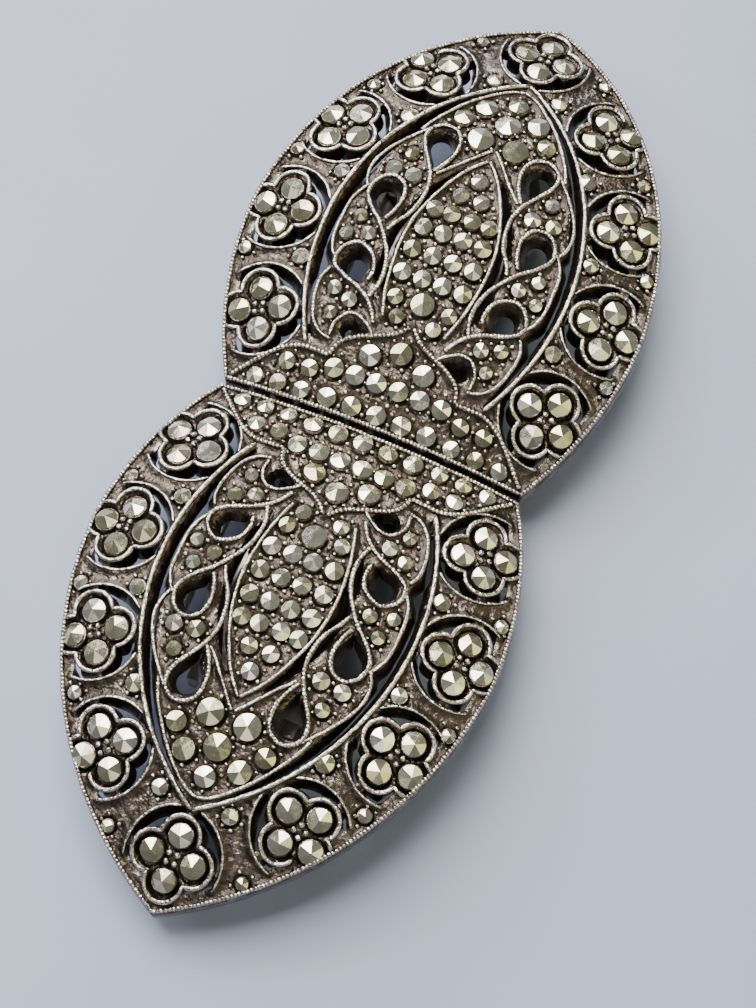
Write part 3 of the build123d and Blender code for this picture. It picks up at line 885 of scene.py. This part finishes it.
def oxidised_silver(name, lighter=0.0):
    """Silver whose hollows are black-brown with old oxide, and whose high points are rubbed bright.
    The tone it reads also holds painted shade on the walls of the openings and a painted highlight
    along the edges of the metal.
    """
    shader = Shader(name)
    blotches = shader.math("MULTIPLY_ADD", shader.noise(900.0), 0.5, -0.25 + lighter)
    specks = shader.math("MULTIPLY", shader.math("SUBTRACT", shader.noise(4200.0, 6.0), 0.5), 0.5)
    # The tone brings oxide and rubbing, and on the plate also painted shade in the openings and a painted
    # highlight on edges.
    lightness = shader.math("ADD", shader.math("ADD", shader.tone(), blotches), specks, clamp=True)
    shader.set(
        Base_Color=shader.ramp(lightness, [
            (0.0, (0.040, 0.031, 0.025)), (0.3, (0.108, 0.085, 0.069)),
            (0.6, (0.34, 0.295, 0.25)), (1.0, (0.72, 0.675, 0.605))]),
        Metallic=shader.ramp(lightness, [(0.0, 0.9), (0.5, 1.0)]),
        Roughness=shader.ramp(lightness, [(0.0, 0.38), (0.5, 0.22), (1.0, 0.14)]),
    )
    # The front is rough from casting; the back, which faces down, is filed smooth.
    roughening = shader.math("MULTIPLY", shader.facing_up(), 0.8, clamp=True)
    shader.bump(shader.noise(1500.0, 4.0, 0.5), 0.0005, roughening)
    return shader.material


def marcasite():
    """Polished pyrite: pale brassy grey metal, a little different in each stone."""
    shader = Shader("marcasite")
    cloud = shader.noise(1400.0, 3.0)
    own_tone = shader.math("MULTIPLY", shader.tone(), 0.7)
    mixed = shader.math("ADD", own_tone, shader.math("MULTIPLY", cloud, 0.3))
    shader.set(
        Base_Color=shader.ramp(mixed, [
            (0.1, (0.43, 0.405, 0.24)), (0.45, (0.66, 0.625, 0.44)), (0.9, (0.82, 0.79, 0.68))]),
        Metallic=0.92,
        Roughness=shader.ramp(shader.noise(2600.0, 5.0), [(0.3, 0.09), (0.75, 0.24)]),
    )
    shader.bump(shader.noise(3500.0, 4.0), 0.00001, 0.35)
    return shader.material


def back_silver():
    """Sheet silver of the fittings: satin, finely scratched, with yellow-brown tarnish in clouds."""
    shader = Shader("back_silver")
    clouds = shader.noise(260.0, 5.0, 0.65)
    stretched = shader.node("Mapping", {"Vector": shader.place(), "Scale": (1.0, 14.0, 14.0)}).outputs[0]
    scratches = shader.node("TexNoise", {"Vector": stretched, "Scale": 900.0, "Detail": 6.0}).outputs["Fac"]
    clouded = shader.math("MULTIPLY", clouds, 0.8)
    mixed = shader.math("ADD", clouded, shader.math("MULTIPLY", scratches, 0.25))
    shader.set(
        Base_Color=shader.ramp(mixed, [
            (0.34, (0.16, 0.125, 0.095)), (0.48, (0.40, 0.35, 0.30)), (0.66, (0.66, 0.63, 0.59))]),
        Metallic=1.0,
        Roughness=shader.ramp(mixed, [(0.3, 0.52), (0.7, 0.30)]),
    )
    shader.bump(scratches, 0.00002, 0.5)
    return shader.material


def steel_wire():
    """Drawn steel, brighter and smoother than the silver, with a few dull specks."""
    shader = Shader("steel_wire")
    specks = shader.noise(1800.0, 6.0, 0.7)
    shader.set(
        Base_Color=shader.ramp(specks, [
            (0.36, (0.22, 0.20, 0.18)), (0.5, (0.52, 0.52, 0.52)), (0.7, (0.66, 0.66, 0.67))]),
        Metallic=1.0,
        Roughness=shader.ramp(specks, [(0.35, 0.5), (0.6, 0.24)]),
    )
    shader.bump(specks, 0.00001, 0.4)
    return shader.material


def table_top():
    """Plain pale matt surface, faintly mottled."""
    shader = Shader("table_top")
    shader.set(
        Base_Color=shader.ramp(shader.noise(40.0, 2.0), [
            (0.3, (0.280, 0.32, 0.445)), (0.7, (0.295, 0.335, 0.46))]),
        Roughness=0.45,
    )
    return shader.material


# =====================================================================================
# Building one clip
# =====================================================================================
STONE_GROUPS = ("crown_stones", "centre_stones", "leaf_stones", "tip_cluster_stones", "rosette_stones",
                "border_stones")


def build_clip(side, shape, traced, back, look):
    rng = random.Random(f"{side} clip")
    groups = {group: stones_in(f"{side}_{group}", side) for group in STONE_GROUPS}
    rosettes = rosettes_from(groups["rosette_stones"])
    runs = [
        ("rim_milgrain", border_paths(), RIM_WIRE),
        ("crown_milgrain", curved_paths([CROWN_SHOULDER, CROWN_PEAK]), CROWN_WIRE),
        ("strand_wires", curved_paths(STRANDS), STRAND_WIRE),
        ("leaf_wires", curved_paths(LEAF_RIMS + [KEYHOLE_RIM, ALMOND, CHEVRON]), LEAF_WIRE),
        ("frame_wires", frame_paths(), FRAME_WIRE),
        ("opening_wires", opening_paths(rosettes, shape), OPENING_WIRE),
        ("petal_wires", petal_paths(rosettes), PETAL_WIRE),
    ]
    wires, stones, cups = Field(), Field(), Field()
    for name, paths, wire in runs:
        soup = Soup()
        for path in paths:
            wires.stamp_path(path)
            add_wire(soup, path, wire, rng)
        make_piece(side, name, soup, look["wire"], WIRE_CREASE)
    for group, places in groups.items():
        soup = Soup()
        for place in places:
            add_stone(soup, *place, rng)
            stones.stamp_disc(*place)
        piece = make_piece(side, f"{group}_cut", soup, look["stone"], FACET_CREASE)
        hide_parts(f"{side}_{group}")
    for u, v, _ in groups["rosette_stones"]:
        cups.stamp_disc(u, v, CUP_RADIUS)
    build_plate(side, shape, traced, back, wires, stones, cups, look)
    build_collars(side, groups, look, rng)
    build_grains(side, grain_places(shape, wires, stones, cups, rng), rosettes, look, rng)


def build_plate(side, shape, traced, back, wires, stones, cups, look):
    height, tone = plate_relief(shape, wires, stones, cups, RELIEF_SEEDS[side])
    soup = plate_mesh(traced, shape, back, height, tone)
    piece = make_piece(side, "pierced_plate", soup, look["plate"], PLATE_CREASE)
    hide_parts(f"{side}_front_plate")


def build_collars(side, groups, look, rng):
    """Collars of the stones that stand alone. Their feet reach down into the plate."""
    soup = Soup()
    for u, v, radius in groups["rosette_stones"]:
        add_collar(soup, u, v, radius, ROSETTE_COLLAR_FOOT, rng)
    for u, v, radius in groups["border_stones"]:
        add_collar(soup, u, v, radius, BORDER_COLLAR_FOOT, rng)
    make_piece(side, "stone_collars", soup, look["wire"], WIRE_CREASE)


def build_grains(side, places, rosettes, look, rng):
    """Grains at their places, and four beads in the middle of each rosette."""
    soup = Soup()
    for u, v, radius in places:
        add_grain(soup, u, v, radius, rng.uniform(*GRAIN_LIFT))
    for centre, petals in rosettes:
        u, v, _ = petals[0]
        first = atan2(v - centre[1], u - centre[0]) + pi / 4
        for k in range(STONES_PER_ROSETTE):
            angle = first + k * pi / 2
            u = centre[0] + CENTRE_BEAD_REACH * cos(angle)
            v = centre[1] + CENTRE_BEAD_REACH * sin(angle)
            add_grain(soup, u, v, CENTRE_BEAD, CENTRE_BEAD_LIFT)
    make_piece(side, "grains", soup, look["wire"], WIRE_CREASE)


# =====================================================================================
# Fittings: the CAD shapes, with softened edges
# =====================================================================================
SHEET_EDGE = 0.08
ROD_EDGE = 0.05


def dress_fitting(node, material, edge=None):
    """Gives a CAD node its material, and rounds its sharp edges by edge millimetres."""
    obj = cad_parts[node]
    obj.data.materials.clear()
    obj.data.materials.append(material)
    weld = obj.modifiers.new("weld", "WELD")
    weld.merge_threshold = 1e-6
    if edge:
        bevel = obj.modifiers.new("soft_edges", "BEVEL")
        bevel.width = edge * MM
        bevel.segments = 2
        bevel.limit_method = "ANGLE"
        bevel.angle_limit = radians(40)
    obj.data.shade_smooth()


def wind_spring(side, material):
    """The flap's spring as a steel object of its own, copied from the CAD spring, which is hidden."""
    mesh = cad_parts[f"{side}_flap_spring"].data.copy()
    mesh.materials.clear()
    mesh.materials.append(material)
    mesh.shade_smooth()
    spring = bpy.data.objects.new(f"{side}_flap_spring_wire", mesh)
    bpy.context.scene.collection.objects.link(spring)
    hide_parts(f"{side}_flap_spring")
    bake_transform(spring)


def dress_fittings(look):
    for side in SIDES:
        dress_fitting(f"{side}_clip_bridge", look["fitting"], SHEET_EDGE)
        dress_fitting(f"{side}_clip_flap", look["fitting"], SHEET_EDGE)
        dress_fitting(f"{side}_flap_pin", look["steel"], ROD_EDGE)
        wind_spring(side, look["steel"])
    for node in ("carrier_frame", "pin_hinge_block", "catch_body", "catch_sleeve"):
        dress_fitting(node, look["fitting"], SHEET_EDGE)
    dress_fitting("pin_rivet", look["steel"], ROD_EDGE)
    dress_fitting("pin_stem", look["steel"])


# =====================================================================================
# Stage, in metres
# =====================================================================================
FLOOR_SIZE = 4.0
FLOOR_GAP = 0.0001
ROOM_COLOUR = (0.86, 0.90, 1.0, 1.0)
ROOM_LIGHT = 0.13
BACKDROP = 0.75
CAMERA_PLACE = (-0.05982, -0.02912, 0.17481)
CAMERA_TARGET = (-0.00528, -0.00298, 0.0070)
CAMERA_ROLL = radians(-2.209)
CAMERA_LENS = 85.67


def add_floor():
    bpy.ops.mesh.primitive_plane_add(size=FLOOR_SIZE, location=(0, 0, cad_box[0].z - FLOOR_GAP))
    floor = bpy.context.object
    floor.name = "table"
    floor.data.materials.append(table_top())


def add_camera():
    data = bpy.data.cameras.new("camera")
    data.lens = CAMERA_LENS
    data.sensor_width = 36.0
    data.clip_start = 0.01
    camera = bpy.data.objects.new("camera", data)
    bpy.context.scene.collection.objects.link(camera)
    sight = Vector(CAMERA_TARGET) - Vector(CAMERA_PLACE)
    turn = sight.to_track_quat("-Z", "Y").to_matrix() @ Euler((0, 0, CAMERA_ROLL)).to_matrix()
    camera.matrix_world = turn.to_4x4()
    camera.location = CAMERA_PLACE
    bpy.context.scene.camera = camera


def add_softbox(name, place, size, power, colour):
    """Soft rectangular light that points at the brooch."""
    data = bpy.data.lights.new(name, "AREA")
    data.shape = "RECTANGLE"
    data.size, data.size_y = size
    data.energy = power
    data.color = colour
    lamp = bpy.data.objects.new(name, data)
    bpy.context.scene.collection.objects.link(lamp)
    lamp.location = place
    lamp.rotation_euler = (-Vector(place)).to_track_quat("-Z", "Y").to_euler()


def light_room():
    """Faint light from all round. Only the camera sees the room as bright as BACKDROP."""
    world = bpy.data.worlds.new("studio")
    bpy.context.scene.world = world
    world.use_nodes = True
    nodes, links = world.node_tree.nodes, world.node_tree.links
    background = nodes["Background"]
    background.inputs["Color"].default_value = ROOM_COLOUR
    seen = nodes.new("ShaderNodeLightPath").outputs["Is Camera Ray"]
    strength = nodes.new("ShaderNodeMapRange")
    strength.inputs["To Min"].default_value = ROOM_LIGHT
    strength.inputs["To Max"].default_value = BACKDROP
    links.new(seen, strength.inputs["Value"])
    links.new(strength.outputs["Result"], background.inputs["Strength"])


def light_studio():
    """A window over the far side, two low ones beside it, and dim walls for the stones to mirror."""
    light_room()
    add_softbox("window", (0.25, 0.23, 0.68), (0.55, 0.55), 12.2, (1.0, 0.99, 0.97))
    add_softbox("low_window", (0.12, 0.50, 0.32), (0.45, 0.20), 2.4, (0.97, 0.98, 1.0))
    add_softbox("far_window", (0.80, 0.45, 0.36), (0.6, 0.25), 4.5, (0.97, 0.98, 1.0))
    add_softbox("green_wall", (0.10, -0.80, 0.46), (1.0, 0.40), 3.0, (1.0, 0.95, 0.50))
    add_softbox("near_wall", (-0.65, -0.15, 0.75), (0.9, 0.6), 2.3, (1.0, 0.95, 0.88))


# =====================================================================================
look = {
    "plate": oxidised_silver("oxidised_silver_plate"),
    "wire": oxidised_silver("oxidised_silver_wire", 0.05),
    "stone": marcasite(),
    "fitting": back_silver(),
    "steel": steel_wire(),
}
back_radius, plate_edges = plate_back()
plate_shape = sheet_shape(plate_edges)
plate_trace = trace_sheet(plate_shape)
for clip in SIDES:
    build_clip(clip, plate_shape, plate_trace, back_radius, look)
dress_fittings(look)
add_floor()
add_camera()
light_studio()
